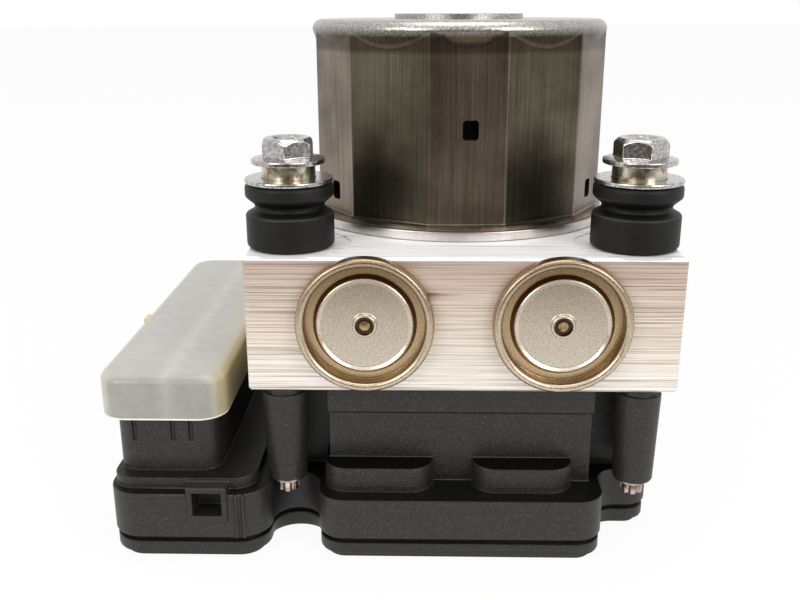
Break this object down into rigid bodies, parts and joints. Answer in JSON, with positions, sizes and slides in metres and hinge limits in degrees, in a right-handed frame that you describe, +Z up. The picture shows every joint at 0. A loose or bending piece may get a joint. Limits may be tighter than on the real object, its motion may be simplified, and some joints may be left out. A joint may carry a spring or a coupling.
{
  "type": "abs brake module",
  "caption": "Anti-lock brake hydraulic block with faceted pump motor, pressed accumulator caps, rubber isolators and a black control unit whose connector wears a transport cap",
  "frame": {"origin": "on the pump motor's axis, in the flat face that the module rests on", "axes": "+Z up along the motor's axis; -Y is the front, with the two accumulator caps; -X is the connector's side"},
  "size_m": [0.1252, 0.1065, 0.1137],
  "materials": {
    "block_aluminium": "sawn aluminium, milled top",
    "can_steel": "drawn steel with a dark zinc coat",
    "plate_steel": "blanked zinc-coated steel",
    "yellow_zinc": "pressed steel, yellow passivated",
    "bright_zinc": "bright zinc",
    "screw_steel": "zinc-coated steel",
    "rubber": "satin",
    "housing_plastic": "satin, finely grained",
    "cap_plastic": "translucent milky",
    "brass": "drawn",
    "machined_steel": "ground",
    "spring_steel": "drawn wire",
    "piston_aluminium": "turned",
    "core_steel": "stacked laminations",
    "ferrite": "sintered",
    "copper": "enamelled copper and copper bars",
    "moulded_dark": "moulded",
    "board": "lacquered laminate"
  },
  "bodies": {
    "module": {"accumulator_cap_left": "yellow_zinc", "accumulator_cap_right": "yellow_zinc", "ball_plugs": "screw_steel", "brush_plate": "moulded_dark", "carbon_brushes": "moulded_dark", "circuit_board": "board", "contact_pins": "brass", "control_unit_cover": "housing_plastic", "control_unit_housing": "housing_plastic", "control_unit_screws": "screw_steel", "cover_seal": "rubber", "field_magnets": "ferrite", "grommet_left": "rubber", "grommet_right": "rubber", "grommet_washers": "bright_zinc", "inlet_valves": "machined_steel", "lower_bearing": "machined_steel", "motor_can": "can_steel", "motor_contact_post": "moulded_dark", "motor_end_plate": "plate_steel", "mounting_bolts": "bright_zinc", "outlet_valves": "machined_steel", "pump_plugs": "screw_steel", "spacer_sleeves": "yellow_zinc", "upper_bearing": "machined_steel", "valve_block": "block_aluminium", "valve_coils": "copper", "vent_pin_left": "brass", "vent_pin_right": "brass"},
    "rotor": {"motor_shaft": "machined_steel", "eccentric_ring": "machined_steel", "armature_core": "core_steel", "armature_windings": "copper", "commutator": "copper"},
    "transport_cap": {"connector_cap": "cap_plastic"},
    "accumulator_left": {"accumulator_piston_left": "piston_aluminium", "accumulator_seal_left": "rubber", "accumulator_spring_left": "spring_steel"},
    "pump_left": {"pump_piston_left": "machined_steel", "pump_spring_left": "spring_steel"},
    "accumulator_right": {"accumulator_piston_right": "piston_aluminium", "accumulator_seal_right": "rubber", "accumulator_spring_right": "spring_steel"},
    "pump_right": {"pump_piston_right": "machined_steel", "pump_spring_right": "spring_steel"},
    "inlet_plunger_1_body": {"inlet_plunger_1": "machined_steel"},
    "inlet_plunger_2_body": {"inlet_plunger_2": "machined_steel"},
    "inlet_plunger_3_body": {"inlet_plunger_3": "machined_steel"},
    "inlet_plunger_4_body": {"inlet_plunger_4": "machined_steel"},
    "outlet_plunger_1_body": {"outlet_plunger_1": "machined_steel"},
    "outlet_plunger_2_body": {"outlet_plunger_2": "machined_steel"},
    "outlet_plunger_3_body": {"outlet_plunger_3": "machined_steel"},
    "outlet_plunger_4_body": {"outlet_plunger_4": "machined_steel"}
  },
  "joints": [
    {"name": "rotor_spin", "type": "hinge", "parent": "module", "child": "rotor", "pos_m": [0, 0, 0.09], "axis": [0, 0, 1], "continuous": true},
    {"name": "cap_lift", "type": "slide", "parent": "module", "child": "transport_cap", "axis": [0, 0, 1], "range_m": [0, 0.012]},
    {"name": "accumulator_left_slide", "type": "slide", "parent": "module", "child": "accumulator_left", "axis": [0, -1, 0], "range_m": [0, 0.008], "stiffness_N_per_m": 1500, "springref_m": -0.002, "deforming": ["accumulator_spring_left"]},
    {"name": "pump_left_stroke", "type": "slide", "parent": "module", "child": "pump_left", "axis": [-1, 0, 0], "range_m": [0, 0.002], "stiffness_N_per_m": 2000, "springref_m": -0.001, "deforming": ["pump_spring_left"]},
    {"name": "accumulator_right_slide", "type": "slide", "parent": "module", "child": "accumulator_right", "axis": [0, -1, 0], "range_m": [0, 0.008], "stiffness_N_per_m": 1500, "springref_m": -0.002, "deforming": ["accumulator_spring_right"]},
    {"name": "pump_right_stroke", "type": "slide", "parent": "module", "child": "pump_right", "axis": [1, 0, 0], "range_m": [0, 0.002], "stiffness_N_per_m": 2000, "springref_m": -0.001, "deforming": ["pump_spring_right"]},
    {"name": "inlet_plunger_1_lift", "type": "slide", "parent": "module", "child": "inlet_plunger_1_body", "axis": [0, 0, 1], "range_m": [0, 0.0003], "stiffness_N_per_m": 1000, "springref_m": -0.0005},
    {"name": "inlet_plunger_2_lift", "type": "slide", "parent": "module", "child": "inlet_plunger_2_body", "axis": [0, 0, 1], "range_m": [0, 0.0003], "stiffness_N_per_m": 1000, "springref_m": -0.0005},
    {"name": "inlet_plunger_3_lift", "type": "slide", "parent": "module", "child": "inlet_plunger_3_body", "axis": [0, 0, 1], "range_m": [0, 0.0003], "stiffness_N_per_m": 1000, "springref_m": -0.0005},
    {"name": "inlet_plunger_4_lift", "type": "slide", "parent": "module", "child": "inlet_plunger_4_body", "axis": [0, 0, 1], "range_m": [0, 0.0003], "stiffness_N_per_m": 1000, "springref_m": -0.0005},
    {"name": "outlet_plunger_1_lift", "type": "slide", "parent": "module", "child": "outlet_plunger_1_body", "axis": [0, 0, 1], "range_m": [0, 0.0003], "stiffness_N_per_m": 1000, "springref_m": -0.0005},
    {"name": "outlet_plunger_2_lift", "type": "slide", "parent": "module", "child": "outlet_plunger_2_body", "axis": [0, 0, 1], "range_m": [0, 0.0003], "stiffness_N_per_m": 1000, "springref_m": -0.0005},
    {"name": "outlet_plunger_3_lift", "type": "slide", "parent": "module", "child": "outlet_plunger_3_body", "axis": [0, 0, 1], "range_m": [0, 0.0003], "stiffness_N_per_m": 1000, "springref_m": -0.0005},
    {"name": "outlet_plunger_4_lift", "type": "slide", "parent": "module", "child": "outlet_plunger_4_body", "axis": [0, 0, 1], "range_m": [0, 0.0003], "stiffness_N_per_m": 1000, "springref_m": -0.0005}
  ]
}
